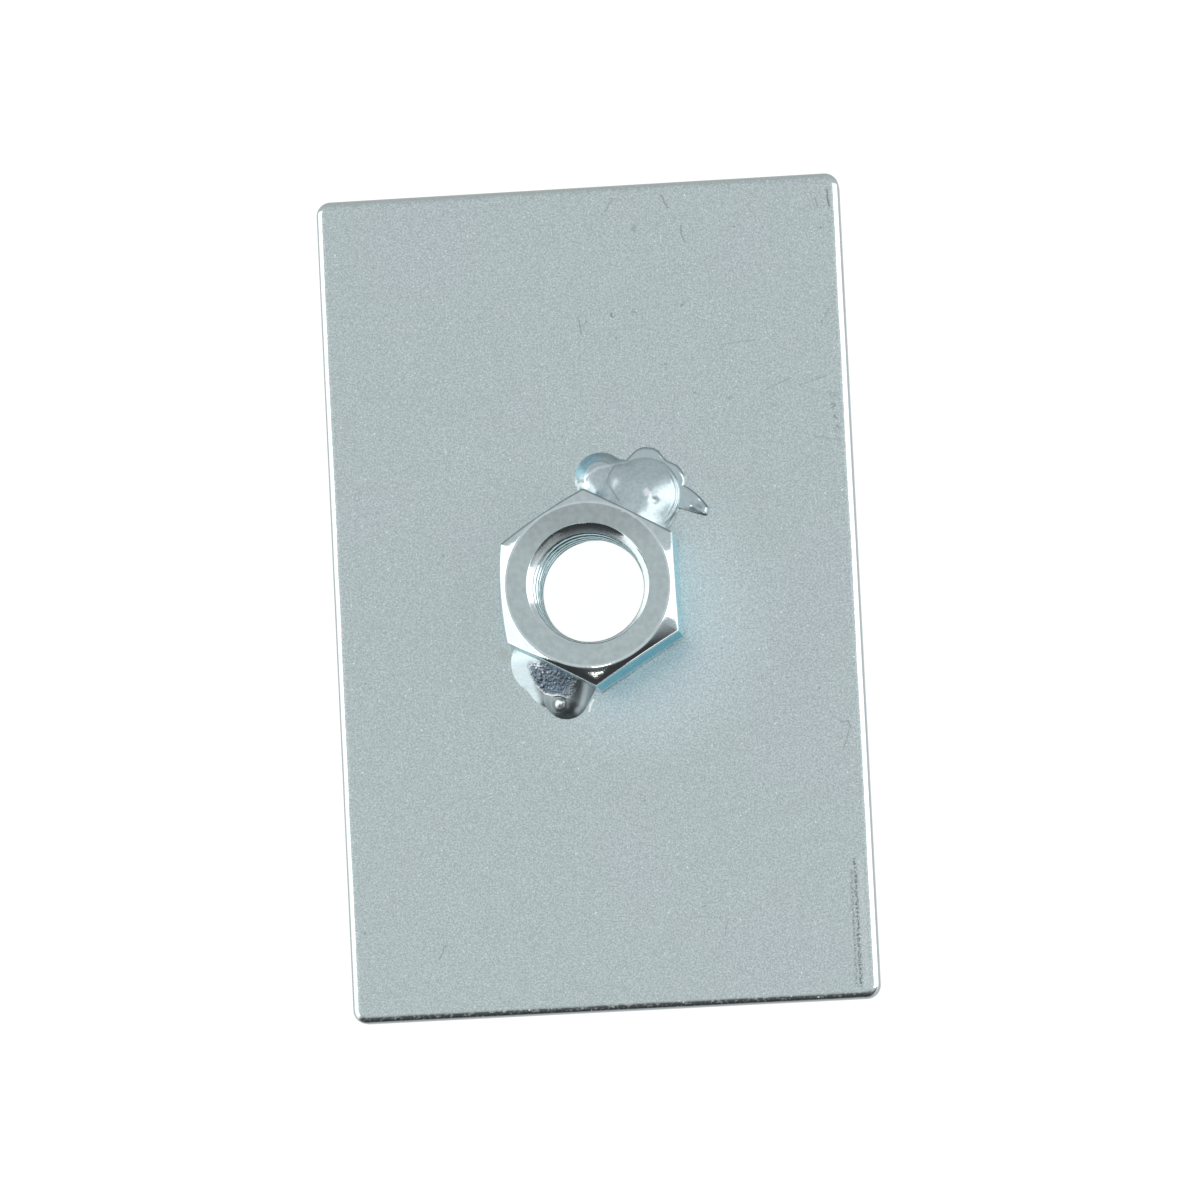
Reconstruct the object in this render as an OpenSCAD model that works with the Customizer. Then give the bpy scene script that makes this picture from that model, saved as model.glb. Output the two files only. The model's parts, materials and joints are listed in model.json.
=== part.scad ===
// Plate nut: a rectangular zinc plated steel plate with a hexagon nut tack welded over its bolt hole.
// Millimetres. The plate lies flat with its length along Y and the nut on top, towards +Z.
// The origin is the middle of the plate's underside.

/* [Plate] */
// Width of the plate
plate_w = 52.5; // [44:0.5:80]
// Length of the plate
plate_l = 82.5; // [60:0.5:140]
// Thickness of the plate
plate_t = 3.2; // [2.4:0.1:6]
// Radius of the four corners, seen from above
plate_corner_r = 1.4; // [1.2:0.1:8]
// Radius of the roll that blanking left along the upper edge
plate_roll_r = 1.5; // [1.3:0.1:2.2]
// Width of that roll, seen from above
plate_roll_w = 0.95; // [0.4:0.05:1.2]
// Small radius of the edge on the underside
plate_under_edge_r = 0.25; // [0.1:0.05:0.8]
// Bolt hole through the plate, clear of the thread
plate_hole_d = 13; // [12.2:0.1:14]

/* [Nut] */
// Distance across the flats
nut_af = 17; // [16:0.1:22]
// Height of the nut
nut_h = 10; // [7.5:0.1:14]
// Wall of the tapped hole: the minor diameter of the thread
thread_minor_d = 10.4; // [9:0.05:11]
// Width of the tapered lead at the upper end of the thread
lead_d = 11.4; // [11.1:0.05:11.5]
// Depth of that lead below the nut's end face
lead_depth = 4.5; // [2:0.1:6]
// Mouth of the countersink at both ends of the thread
mouth_d = 12.15; // [11.6:0.05:13]
// Angle between the two sides of the countersink
mouth_angle = 100; // [60:5:120]
// Flat end face that the corner chamfer leaves
nut_face_d = 16.2; // [14:0.1:17]
// Slope of the corner chamfer from the end face
chamfer_angle = 30; // [15:1:40]
// How far the turned end faces sit off the thread axis, across the plate
face_off_x = -0.1; // [-0.3:0.05:0.3]
// How far the turned end faces sit off the thread axis, along the plate
face_off_y = 0.25; // [-0.3:0.05:0.3]
// Place of the thread axis across the plate
nut_x = 0.05; // [-2:0.05:2]
// Place of the thread axis along the plate
nut_y = 0.3; // [-2:0.05:2]
// Turn of the nut on the plate
nut_turn = 1; // [-15:0.5:15]

/* [Right weld] */
// Middle of the main puddle along the flat
main_along = -0.1; // [-1:0.1:1]
// Middle of the main puddle out from the flat
main_out = 2.6; // [1.5:0.1:3]
// Radius of the main puddle where it meets the plate
main_r = 4; // [3.4:0.1:4.5]
// Height of the main puddle clear of the nut
main_h = 1.9; // [1:0.1:3]
// Middle of the side puddle along the flat
side_along = -4.7; // [-5:0.1:-4]
// Middle of the side puddle out from the flat
side_out = 2.1; // [1:0.1:3]
// Radius of the side puddle where it meets the plate
side_r = 2.75; // [2.2:0.05:3.5]
// Height of the side puddle clear of the nut
side_h = 1.7; // [1:0.1:3]
// Middle of the bank between those two along the flat
bank_along = -2.7; // [-3.2:0.1:-2.2]
// Middle of the bank out from the flat
bank_out = 2.2; // [1.5:0.1:2.8]
// Radius of the bank where it meets the plate
bank_r = 2.9; // [2.4:0.1:3.2]
// Height of the bank clear of the nut
bank_h = 1.3; // [1:0.1:2.5]
// How far this weld climbs the nut's flat
right_climb = 0.8; // [0:0.1:3]
// Distance from the flat over which that climb fades
right_fade = 1.6; // [0.5:0.1:3]

/* [Flash on the right weld] */
// Thickness of the thin flash spilled round the main puddle
flash_t = 0.25; // [0.1:0.05:0.5]
// Radius of each lobe of the flash
flash_lobe_r = 1.6; // [1:0.1:2.2]
// How far the middle of a lobe lies inside the main puddle's edge
flash_inset = 1; // [0.2:0.1:1.5]
// How far the pointed leaf runs off the puddle
leaf_l = 2.7; // [1:0.1:4]
// How much shorter the leaf is beside its point
leaf_blunt = 0.5; // [0.1:0.1:1]

/* [Left weld] */
// Middle of the wide puddle along the flat
wide_along = 1.8; // [0.5:0.1:2]
// Middle of the wide puddle out from the flat
wide_out = 0; // [-0.5:0.1:1]
// Radius of the wide puddle where it meets the plate
wide_r = 3.4; // [2.8:0.05:4.2]
// Height of the wide puddle clear of the nut
wide_h = 2; // [1:0.1:3]
// Middle of the belly of the weld along the flat
belly_along = -0.2; // [-1:0.1:1]
// Middle of the belly out from the flat
belly_out = 0.35; // [-0.5:0.05:1]
// Radius of the belly where it meets the plate
belly_r = 3.8; // [3:0.1:4.2]
// Height of the belly clear of the nut
belly_h = 1.9; // [1:0.1:3]
// Middle of the nose along the flat
nose_along = -1.85; // [-2.5:0.05:-1]
// Middle of the nose out from the flat
nose_out = 2; // [1.4:0.05:2.5]
// Radius of the nose where it meets the plate
nose_r = 2.35; // [1.8:0.05:3]
// Height of the nose clear of the nut
nose_h = 1.5; // [1:0.1:3]
// How far this weld climbs the nut's flat
left_climb = 0.5; // [0:0.1:3]
// Distance from the flat over which that climb fades
left_fade = 1.3; // [0.5:0.1:3]
// Radius of the drop of metal frozen on the nose
drop_r = 0.7; // [0.4:0.05:1]
// Middle of the drop along the flat
drop_along = -1.6; // [-2.2:0.1:-1]
// Middle of the drop out from the flat
drop_out = 3; // [2:0.1:3.4]

/* [Weld metal] */
// Flatness of a domed puddle's top: higher is flatter
dome_top_power = 2; // [2:0.1:4]
// Roundness of a domed puddle's rim: lower is steeper
dome_rim_power = 0.85; // [0.5:0.05:1.2]
// Flatness of a flat topped puddle
level_top_power = 3; // [2:0.1:5]
// Roundness of a flat topped puddle's rim: lower is steeper
level_rim_power = 1.1; // [0.5:0.05:1.4]
// Flatness of a sloping puddle, which rises evenly like a cone
slope_top_power = 1.3; // [1.1:0.05:2]
// Roundness of a sloping puddle's rim: lower is steeper
slope_rim_power = 1; // [0.8:0.05:1.4]
// How softly the puddles run into each other: lower is softer
blend_power = 3; // [2:1:8]
// How deep the puddles melt into the plate
melt = 0.2; // [0.1:0.05:0.4]

/* [Hidden] */
$fn = 96;

plate_colour = [0.67, 0.72, 0.72];
nut_colour = [0.75, 0.79, 0.79];
weld_colour = [0.60, 0.66, 0.68];

// How far a cutting body runs on past the faces that it cuts
cut_past = plate_t / 4;
nut_corner_r = nut_af / 2 / cos(30);
face_off = [face_off_x, face_off_y];
// Outside the hexagon's corners wherever the turned faces sit
turned_r = nut_corner_r + norm(face_off) + cut_past;
chamfer_rise = (turned_r - nut_face_d / 2) * tan(chamfer_angle);
mouth_depth = (mouth_d - thread_minor_d) / 2 / tan(mouth_angle / 2);

// The flats that carry the welds, by the direction they face
right_flat = 60;
left_flat = 240;
// Where the flash lobes lie round the main puddle, and where the leaf starts, joins, points and ends
flash_angles = [112, 57];
leaf_angles = [38, 20, 12, 5];
// The drop is sunk in by this share of its radius
drop_sink = 0.5;

// A puddle is [along the flat, out from the flat, radius, height, top power, rim power, draw].
// Draw is how far it narrows towards the nut: 0 runs straight back to it, 1 stays round.
right_puddles = [
    [main_along, main_out, main_r, main_h, dome_top_power, dome_rim_power, 0.5],
    [side_along, side_out, side_r, side_h, level_top_power, level_rim_power, 1],
    [bank_along, bank_out, bank_r, bank_h, level_top_power, level_rim_power, 0]
];
left_puddles = [
    [wide_along, wide_out, wide_r, wide_h, slope_top_power, slope_rim_power, 1],
    [nose_along, nose_out, nose_r, nose_h, dome_top_power, dome_rim_power, 0],
    [belly_along, belly_out, belly_r, belly_h, slope_top_power, slope_rim_power, 1]
];
// A climb is [height on the flat, distance over which it fades]
right_rise = [right_climb, right_fade];
left_rise = [left_climb, left_fade];
weld_rays = 60;
weld_rings = 10;

// Plate

// Section across the plate: a bar with its upper edges rolled down and its lower edges rounded
module plate_section(w) {
    flat_w = w - 2 * plate_roll_w;
    foot_w = w - 2 * plate_under_edge_r;
    translate([-flat_w / 2, plate_under_edge_r]) square([flat_w, plate_t - plate_under_edge_r]);
    translate([-foot_w / 2, 0]) square([foot_w, plate_under_edge_r]);
    for (side = [0, 1]) mirror([side, 0]) {
        translate([foot_w / 2, plate_under_edge_r]) circle(plate_under_edge_r);
        translate([flat_w / 2, 0]) rolled_strip();
    }
}

// Strip of the section under one rolled edge
module rolled_strip() {
    intersection() {
        translate([0, plate_under_edge_r]) square([plate_roll_w, plate_t - plate_under_edge_r]);
        union() {
            translate([0, plate_t - plate_roll_r]) circle(plate_roll_r);
            square([plate_roll_w, plate_t - plate_roll_r]);
        }
    }
}

module plate_corner() {
    rotate_extrude() intersection() {
        plate_section(2 * plate_corner_r);
        square([plate_corner_r, plate_t]);
    }
}

module plate_blank() {
    rotate([90, 0, 0]) linear_extrude(plate_l - 2 * plate_corner_r, center = true) plate_section(plate_w);
    rotate([90, 0, 90]) linear_extrude(plate_w - 2 * plate_corner_r, center = true) plate_section(plate_l);
    for (x = [-1, 1], y = [-1, 1])
        translate([x * (plate_w / 2 - plate_corner_r), y * (plate_l / 2 - plate_corner_r), 0]) plate_corner();
}

module plate() {
    color(plate_colour) difference() {
        plate_blank();
        translate([nut_x, nut_y, -cut_past]) cylinder(d = plate_hole_d, h = plate_t + 2 * cut_past);
    }
}

// Nut

module on_plate() {
    translate([nut_x, nut_y, plate_t]) children();
}

module nut_hexagon(h) {
    rotate(nut_turn + 30) cylinder(r = nut_corner_r, h = h, $fn = 6);
}

// Round body that chamfers the corners at both ends of the hexagon
module turned_body() {
    translate(face_off) rotate_extrude() polygon([
        [0, 0],
        [nut_face_d / 2, 0],
        [turned_r, chamfer_rise],
        [turned_r, nut_h - chamfer_rise],
        [nut_face_d / 2, nut_h],
        [0, nut_h]
    ]);
}

// Countersink cone, widest at the end face and carried on a little past it
module mouth_cone() {
    slope = tan(mouth_angle / 2);
    deep = mouth_depth + (thread_minor_d / 2 - norm(face_off)) / slope / 2;
    translate([face_off.x, face_off.y, -cut_past])
        cylinder(r1 = mouth_d / 2 + cut_past * slope, r2 = mouth_d / 2 - deep * slope, h = deep + cut_past);
}

// Tapered lead, in which the first turns of the thread are cut away
module lead_cone() {
    translate([0, 0, nut_h - lead_depth]) cylinder(d1 = thread_minor_d, d2 = lead_d, h = lead_depth);
}

module hex_nut() {
    color(nut_colour) on_plate() difference() {
        intersection() {
            nut_hexagon(nut_h);
            turned_body();
        }
        translate([0, 0, -cut_past]) cylinder(d = thread_minor_d, h = nut_h + 2 * cut_past);
        lead_cone();
        mouth_cone();
        translate([0, 0, nut_h]) mirror([0, 0, 1]) mouth_cone();
    }
}

// Welds

// Distance of a point from a puddle's middle, as a share of the puddle's radius
function puddle_apart(p, q) =
    let (d = q - [p[0], p[1]])
    norm([d.x, d.y * (d.y < 0 ? p[6] : 1)]) / p[2];

// Height of one puddle over a point of the plate: a rounded cap that climbs the nut's flat
function puddle_height(p, rise, q) =
    let (open = 1 - pow(puddle_apart(p, q), p[4]))
    open <= 0 ? 0 : pow(open, p[5]) * (p[3] + rise[0] * exp(-max(q.y, 0) / rise[1]));

// Height of the puddles, run together
function weld_height(puddles, rise, q) =
    let (powers = [for (p = puddles) pow(puddle_height(p, rise, q), blend_power)])
    pow(powers * [for (p = puddles) 1], 1 / blend_power);

// Distance from a point inside a puddle to its rim along a ray, found by halving the interval it lies in
function rim_distance(p, from, ray, low = 0, high = nut_af, halvings = 30) =
    let (middle = (low + high) / 2, inside = puddle_apart(p, from + middle * ray) < 1)
    halvings == 0 ? low
    : rim_distance(p, from, ray, inside ? middle : low, inside ? high : middle, halvings - 1);

// Distance along a ray to the end of the weld: the farthest rim, or a little way into the nut
function weld_reach(puddles, from, ray) =
    let (rim = max([for (p = puddles) rim_distance(p, from, ray)]))
    ray.y < 0 ? min(rim, (from.y + cut_past) / -ray.y) : rim;

// Middle of the lens in which two puddles overlap
function puddle_lens(a, b) =
    let (gap = [b[0] - a[0], b[1] - a[1]])
    [a[0], a[1]] + gap / norm(gap) * (norm(gap) + a[2] - b[2]) / 2;

// Overlapping puddles as one closed skin, on rings that spread from where they overlap to the rim.
// The rim lies a little below the plate's face, where the plate cuts it off.
module weld_puddles(puddles, rise) {
    middle = puddle_lens(puddles[0], puddles[1]);
    rays = [for (j = [0 : weld_rays - 1]) [cos(360 * j / weld_rays), sin(360 * j / weld_rays)]];
    reach = [for (ray = rays) weld_reach(puddles, middle, ray)];
    rings = [for (k = [1 : weld_rings], j = [0 : weld_rays - 1])
        let (q = middle + rays[j] * reach[j] * sin(90 * k / weld_rings))
        [q.x, q.y, k == weld_rings ? -melt : weld_height(puddles, rise, q) - melt]];
    top = [middle.x, middle.y, weld_height(puddles, rise, middle) - melt];
    at = function (k, j) 1 + (k - 1) * weld_rays + j % weld_rays;
    cap = [for (j = [0 : weld_rays - 1]) [0, at(1, j + 1), at(1, j)]];
    skin = [for (k = [1 : weld_rings - 1], j = [0 : weld_rays - 1], half = [0, 1])
        half == 0 ? [at(k, j), at(k, j + 1), at(k + 1, j + 1)] : [at(k, j), at(k + 1, j + 1), at(k + 1, j)]];
    foot = [for (j = [0 : weld_rays - 1]) at(weld_rings, j)];
    polyhedron(concat([top], rings), concat(cap, skin, [foot]));
}

// Stands a weld on one flat and trims it to the nut and the plate.
// X runs along the flat, Y points out from it and Z starts on the plate.
module on_flat(direction) {
    on_plate() difference() {
        rotate(direction + nut_turn - 90) translate([0, nut_af / 2, 0]) children();
        translate([0, 0, -cut_past]) nut_hexagon(nut_h + 2 * cut_past);
        translate([0, 0, -cut_past]) cylinder(r = 2 * nut_af, h = cut_past);
    }
}

// Thin flash round the main puddle, with the pointed leaf that runs off its rim
module flash() {
    // Corners of the leaf as distance and angle from the middle of the puddle
    leaf = [
        [main_r, leaf_angles[0]],
        [main_r - flash_inset, leaf_angles[1]],
        [main_r, leaf_angles[3]],
        [main_r + leaf_l - leaf_blunt, leaf_angles[3]],
        [main_r + leaf_l, leaf_angles[2]]
    ];
    translate([main_along, main_out, -melt / 2]) linear_extrude(flash_t + melt / 2) {
        for (a = flash_angles)
            rotate(a) translate([main_r - flash_inset, 0]) circle(flash_lobe_r);
        polygon([for (p = leaf) p[0] * [cos(p[1]), sin(p[1])]]);
    }
}

module right_weld() {
    color(weld_colour) on_flat(right_flat) {
        weld_puddles(right_puddles, right_rise);
        flash();
    }
}

module left_weld() {
    drop_at = [drop_along, drop_out];
    drop_z = weld_height(left_puddles, left_rise, drop_at) - melt - drop_sink * drop_r;
    color(weld_colour) on_flat(left_flat) {
        weld_puddles(left_puddles, left_rise);
        translate([drop_at.x, drop_at.y, drop_z]) sphere(drop_r);
    }
}

plate();
hex_nut();
right_weld();
left_weld();
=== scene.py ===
# Plate nut: a hexagon nut tack welded over the bolt hole of a zinc plated steel plate.
# Shapes are worked out in millimetres, in the part's own frame, and meshes are made in metres.

import json

import bpy
import numpy as np
from mathutils import Matrix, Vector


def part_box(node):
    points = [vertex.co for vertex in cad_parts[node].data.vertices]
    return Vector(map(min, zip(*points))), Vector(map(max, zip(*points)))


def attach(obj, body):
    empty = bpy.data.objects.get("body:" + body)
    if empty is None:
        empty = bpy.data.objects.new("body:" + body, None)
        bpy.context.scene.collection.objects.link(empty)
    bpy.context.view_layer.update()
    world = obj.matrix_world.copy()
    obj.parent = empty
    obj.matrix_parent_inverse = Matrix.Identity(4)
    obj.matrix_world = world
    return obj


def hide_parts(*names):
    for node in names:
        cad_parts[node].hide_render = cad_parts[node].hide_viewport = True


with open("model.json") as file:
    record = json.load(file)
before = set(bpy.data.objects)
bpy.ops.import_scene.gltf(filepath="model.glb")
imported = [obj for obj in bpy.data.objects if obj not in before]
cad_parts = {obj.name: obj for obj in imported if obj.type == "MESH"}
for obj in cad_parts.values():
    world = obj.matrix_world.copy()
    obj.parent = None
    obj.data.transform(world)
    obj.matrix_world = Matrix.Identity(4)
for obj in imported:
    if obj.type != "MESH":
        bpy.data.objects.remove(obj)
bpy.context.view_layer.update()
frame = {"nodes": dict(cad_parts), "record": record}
print("frame loaded:", ", ".join(sorted(frame["nodes"])))

mm = 0.001


# Sizes that come from the frame

def boxOf(node):
    low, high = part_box(node)
    return np.array(low) / mm, np.array(high) / mm


plateLow, plateHigh = boxOf("plate")
nutLow, nutHigh = boxOf("hex_nut")
mounts = {mount["name"]: mount for mount in frame["record"]["mounts"]}
threadAxis = np.array(mounts["thread"]["pos_m"][:2]) / mm
minorRadius = mounts["thread"]["dims"]["r_mm"]
holeRadius = mounts["plate_hole"]["dims"]["r_mm"]
plateTop = plateHigh[2]


# Mesh tools

def gridFaces(rows, columns, closeRows):
    # Quads between neighbouring rows and columns. Columns always join up, rows only where asked.
    row = np.arange(rows if closeRows else rows - 1)[:, None]
    column = np.arange(columns)[None, :]
    nextRow = (row + 1) % rows
    nextColumn = (column + 1) % columns
    corners = [row * columns + column, row * columns + nextColumn,
               nextRow * columns + nextColumn, nextRow * columns + column]
    return np.stack(corners, -1).reshape(-1, 4)


def poleFaces(rows, columns):
    # A grid whose first and last rows are each closed by triangles on one more point, a pole.
    column = np.arange(columns)
    nextColumn = (column + 1) % columns
    first = np.full(columns, rows * columns)
    lastRow = (rows - 1) * columns
    top = np.stack([first, nextColumn, column], 1)
    foot = np.stack([first + 1, lastRow + column, lastRow + nextColumn], 1)
    return gridFaces(rows, columns, False).tolist() + top.tolist() + foot.tolist()


def signedVolume(points, faces):
    # Sum of the cones from the origin over a fan of triangles in each face.
    total = 0
    for count in (3, 4):
        chosen = np.array([face for face in faces if len(face) == count])
        for k in range(2, count if len(chosen) else 0):
            a, b, c = points[chosen[:, 0]], points[chosen[:, k - 1]], points[chosen[:, k]]
            total += np.einsum("ij,ij->", a, np.cross(b, c))
    return total / 6


def makePiece(name, points, faces, material, slot, replaced=None, **attributes):
    # Puts a closed surface into a mesh with its faces outward, and lets it ride with the part.
    faces = [list(face) for face in faces]
    if signedVolume(points, faces) < 0:
        faces = [face[::-1] for face in faces]
    mesh = bpy.data.meshes.new(name)
    mesh.from_pydata((points * mm).tolist(), [], faces)
    mesh.shade_smooth()
    for label, values in attributes.items():
        layer = mesh.attributes.new(label, "FLOAT", "POINT")
        layer.data.foreach_set("value", np.asarray(values, np.float32))
    mesh.materials.append(material)
    piece = bpy.data.objects.new(name, mesh)
    bpy.context.scene.collection.objects.link(piece)
    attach(piece, "root")
    if replaced:
        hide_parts(replaced)
    print("piece", name, len(points), "points")
    return piece


def roundedOutline(corners, sideSteps, arcSteps):
    # Goes round a convex core, anticlockwise. Each sample is a core point and the direction out of it:
    # core + radius * out is the outline with its corners rounded.
    edges = np.roll(corners, -1, 0) - corners
    facing = np.arctan2(edges[:, 1], edges[:, 0]) - np.pi / 2
    core, angle = [], []
    for i, corner in enumerate(corners):
        bend = (facing[i] - facing[i - 1]) % (2 * np.pi)
        core.append(np.repeat(corner[None], arcSteps + 1, 0))
        angle.append(facing[i - 1] + bend * np.linspace(0, 1, arcSteps + 1))
        along = np.linspace(0, 1, sideSteps + 1)[1:-1, None]
        core.append(corner + along * edges[i])
        angle.append(np.full(sideSteps - 1, facing[i]))
    angle = np.concatenate(angle)
    return np.concatenate(core), np.stack([np.cos(angle), np.sin(angle)], 1)


def lumps(x, y, size, seed):
    # Smooth noise from -1 to 1: random knots on a square net, eased from each knot to the next.
    knots = np.random.default_rng(seed).uniform(-1, 1, (64, 64))
    left, low = np.floor(x / size).astype(int), np.floor(y / size).astype(int)
    fx, fy = x / size - left, y / size - low
    fx, fy = fx * fx * (3 - 2 * fx), fy * fy * (3 - 2 * fy)
    near = knots[left % 64, low % 64] * (1 - fx) + knots[(left + 1) % 64, low % 64] * fx
    far = knots[left % 64, (low + 1) % 64] * (1 - fx) + knots[(left + 1) % 64, (low + 1) % 64] * fx
    return near * (1 - fy) + far * fy


def ease(low, high, value):
    # Smooth step from 0 at low to 1 at high.
    t = np.clip((value - low) / (high - low), 0, 1)
    return t * t * (3 - 2 * t)


# Node tools

def addNode(tree, kind, wires=None, **settings):
    node = tree.nodes.new("ShaderNode" + kind)
    for name, value in settings.items():
        setattr(node, name, value)
    for socket, value in (wires or {}).items():
        if isinstance(value, bpy.types.NodeSocket):
            tree.links.new(value, node.inputs[socket])
        else:
            node.inputs[socket].default_value = value
    return node


def calc(tree, operation, a, b=0.0, clamp=False):
    return addNode(tree, "Math", {0: a, 1: b}, operation=operation, use_clamp=clamp).outputs[0]


def fade(tree, value, low, high, toLow=0.0, toHigh=1.0):
    wires = {"Value": value, "From Min": low, "From Max": high, "To Min": toLow, "To Max": toHigh}
    return addNode(tree, "MapRange", wires, interpolation_type="SMOOTHSTEP").outputs[0]


def tint(tree, factor, under, over, blend="MIX"):
    # Colours are a socket or three numbers. Inputs 6 and 7 are the colour pair, output 2 the colour.
    pair = [c if isinstance(c, bpy.types.NodeSocket) else (*c, 1) for c in (under, over)]
    return addNode(tree, "Mix", {0: factor, 6: pair[0], 7: pair[1]},
                   data_type="RGBA", blend_type=blend).outputs[2]


def noise(tree, place, scale, detail=2.0):
    return addNode(tree, "TexNoise", {"Vector": place, "Scale": scale, "Detail": detail}).outputs["Fac"]


def specks(tree, place, scale, share, radius):
    # Small round spots: cells of a Voronoi net, of which a share is kept.
    net = addNode(tree, "TexVoronoi", {"Vector": place, "Scale": scale})
    cell = addNode(tree, "SeparateColor", {0: net.outputs["Color"]}).outputs[0]
    chosen = calc(tree, "LESS_THAN", cell, share)
    return calc(tree, "MULTIPLY", chosen, fade(tree, net.outputs["Distance"], radius, 0.3 * radius))


def startMaterial(name):
    # A metal finish, with its place in millimetres from Object coordinates.
    material = bpy.data.materials.new(name)
    material.use_nodes = True
    tree = material.node_tree
    shader = tree.nodes["Principled BSDF"]
    shader.inputs["Metallic"].default_value = 1.0
    place = addNode(tree, "TexCoord").outputs["Object"]
    place = addNode(tree, "VectorMath", {0: place, "Scale": 1 / mm}, operation="SCALE").outputs[0]
    return material, tree, shader, place


def attribute(tree, name):
    return addNode(tree, "Attribute", attribute_name=name).outputs["Fac"]


# Finishes

def shade(tree, colour, level):
    grey = addNode(tree, "CombineColor", {channel: level for channel in range(3)}).outputs[0]
    return tint(tree, 1.0, colour, grey, "MULTIPLY")


def between(tree, factor, a, b):
    # Plain mix of two numbers. Inputs 2 and 3 are the number pair, output 0 the number.
    return addNode(tree, "Mix", {0: factor, 2: a, 3: b}).outputs[0]


def finish(tree, shader, colour, rough, height, strength, depth):
    tree.links.new(colour, shader.inputs["Base Color"])
    tree.links.new(rough, shader.inputs["Roughness"])
    bump = addNode(tree, "Bump", {"Height": height, "Strength": strength, "Distance": depth * mm})
    tree.links.new(bump.outputs[0], shader.inputs["Normal"])


# A scratch is two ends, its width and how dark it is. A smudge is a middle, a radius and how dark it is.
# A sprinkle is a colour, the scale of its net, the share of cells kept, their radius and its strength
plateLook = dict(
    grey=(0.479, 0.547, 0.545), blue=(0.60, 0.72, 0.755), violet=(0.485, 0.535, 0.57),
    brown=(0.46, 0.49, 0.46), bright=(0.80, 0.86, 0.86), dark=(0.16, 0.19, 0.19), edge=(0.56, 0.62, 0.62),
    # The wall below the rolled edge is painted darker: painted shade for the darker surroundings it reflects.
    wallShade=(0.36, 0.40, 0.41), frontEdgeShade=(0.075, 0.085, 0.085), frontEdgeStreak=(0.36, 0.39, 0.39), gleam=(1.0, 1.0, 1.0),
    roughness=0.34, roughVary=0.05, edgeRoughness=0.12, wallRoughness=0.4,
    # The paler blue round the nut is a painted reflection of the nut's bright flats.
    nutReflectionOff=(3.5, -2.5), nutReflectionFrom=7.0, nutReflectionTo=17.0, nutReflectionStrength=0.5,
    cloudScale=0.07, cloudStrength=0.6, grainScale=6.5, grainShade=0.2, nickScale=2.2, nickHeight=2.0,
    streakScale=3.0, shakeScale=1.5, shakeSize=0.35, patchScale=3.5, dotScale=5.0,
    # The front edge's near black and its lighter streaks are painted shade, and its bright specks are painted
    # glints.
    bumpStrength=0.12, bumpDepth=0.06, frontEdgeGlints=(1.5, 0.4, 0.22),
    sprinkles=[
        ("bright", 2.2, 0.5, 0.22, 0.65), ("bright", 0.6, 0.7, 0.08, 0.9), ("dark", 0.33, 0.4, 0.05, 0.6),
    ],
    scratches=[
        (8.5, 40.0, 9.1, 38.6, 0.10, 0.6), (10.35, 36.8, 10.3, 35.9, 0.11, 0.5),
        (10.3, 35.9, 10.6, 35.2, 0.11, 0.6), (2.8, 38.6, 3.6, 39.8, 0.10, 0.45),
        (25.1, 39.5, 25.2, 37.9, 0.13, 0.7), (23.9, 38.8, 24.1, 37.6, 0.11, 0.4),
        (24.6, 27.6, 23.9, 26.2, 0.11, 0.4), (-0.4, 28.1, -0.2, 26.6, 0.11, 0.5),
        (0.4, 27.9, 0.1, 26.9, 0.10, 0.35), (23.6, -13.8, 24.5, -13.7, 0.10, 0.45),
        (24.5, -13.7, 24.7, -14.2, 0.10, 0.45), (24.7, -14.2, 23.8, -16.5, 0.10, 0.35),
        (-17.4, -35.2, -16.7, -33.9, 0.10, 0.45), (13.8, 24.6, 17.1, 24.9, 0.10, 0.25),
        (18.0, 19.8, 20.5, 20.9, 0.11, 0.3), (21.4, 20.1, 24.2, 20.9, 0.11, 0.3),
        (22.5, 14.9, 25.1, 14.4, 0.10, 0.25), (8.4, -32.3, 10.8, -32.5, 0.10, 0.25),
        (11.6, -32.6, 11.2, -34.3, 0.10, 0.3), (9.0, -31.4, 9.5, -31.2, 0.11, 0.4),
    ],
    smudges=[
        (5.6, 36.8, 0.55, 0.4), (16.1, 39.9, 0.12, 1.0), (3.0, 28.2, 0.4, 0.8), (5.2, 28.3, 0.45, 0.7),
        (10.0, 28.8, 0.25, 0.7), (24.3, 35.7, 0.35, 0.6), (18.6, 36.3, 0.4, 0.35), (25.3, 37.9, 0.2, 0.6),
        (2.6, 38.4, 0.4, 0.4), (-13.4, 39.3, 0.2, 0.8), (-20.7, 34.3, 0.16, 0.9), (-25.0, -30.6, 0.25, 0.6),
        (-24.7, -32.3, 0.25, 0.6), (-24.3, -29.3, 0.2, 0.5), (7.9, 22.9, 0.5, 0.4), (10.9, 19.9, 0.25, 0.6),
        (14.3, 19.2, 0.25, 0.5), (14.6, 15.5, 0.25, 0.5), (18.8, 18.3, 0.35, 0.4), (24.6, 18.9, 0.5, 0.55),
        (24.6, 17.9, 0.45, 0.6), (24.8, 16.8, 0.45, 0.65), (24.9, 15.6, 0.5, 0.6), (25.0, 14.5, 0.35, 0.55),
    ],
    rub=(24.4, -27.5, 24.4, -40.0, 0.24, 0.95), rubBeside=(24.0, -28.5, 23.95, -40.0, 0.2, 0.6),
    stain=(-9.6, -5.2, 1.0, 0.6),
    gleams=[(-0.75, -10.2, -1.07, -10.7, 0.16, 0.9), (-1.07, -10.7, -1.2, -11.3, 0.16, 0.9),
            (25.0, -27.5, 25.0, -40.0, 0.45, 0.09)],
)


def vector(tree, operation, a, b=(0, 0, 0)):
    return addNode(tree, "VectorMath", {0: a, 1: b}, operation=operation).outputs[0]


def gap(tree, a, b):
    return addNode(tree, "VectorMath", {0: a, 1: b}, operation="DISTANCE").outputs["Value"]


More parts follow.
